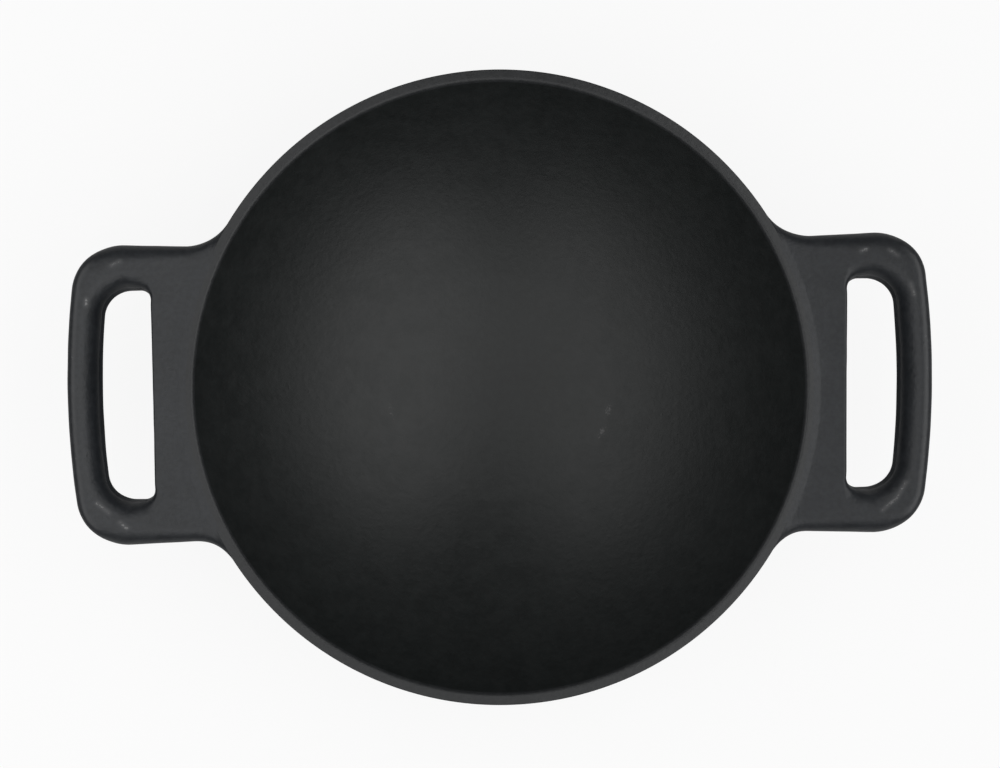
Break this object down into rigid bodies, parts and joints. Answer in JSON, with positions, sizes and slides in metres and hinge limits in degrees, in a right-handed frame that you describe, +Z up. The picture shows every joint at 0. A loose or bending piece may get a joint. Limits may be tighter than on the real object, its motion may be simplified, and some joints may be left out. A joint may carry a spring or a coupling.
{
  "type": "cast iron wok",
  "caption": "Round cast iron wok with a round-bottomed bowl, a flat rim land, a foot ring and wide slotted loop handles on opposite sides, for cooking on a hob or fire.",
  "frame": {"origin": "centre of the foot ring's standing face, which is the bottom centre of the overall box", "axes": "+X along the two handles, from the left one to the right one; +Y across the bowl; +Z up, out of the bowl's mouth"},
  "size_m": [0.419, 0.3092, 0.0935],
  "materials": {
    "bowl_iron": "seasoned, satin black with a fine cast grain",
    "rim_iron": "ground flat and seasoned, slightly lighter",
    "foot_iron": "seasoned, matt black, coarser cast grain",
    "handle_iron": "seasoned, satin black with worn crowns"
  },
  "bodies": {
    "root": {"bowl_floor": "bowl_iron", "bowl_right_wall": "bowl_iron", "bowl_back_wall": "bowl_iron", "bowl_left_wall": "bowl_iron", "bowl_front_wall": "bowl_iron", "rim_band": "rim_iron", "foot_ring": "foot_iron", "left_handle_lug": "handle_iron", "left_handle_grip": "handle_iron", "right_handle_lug": "handle_iron", "right_handle_grip": "handle_iron"}
  },
  "joints": []
}
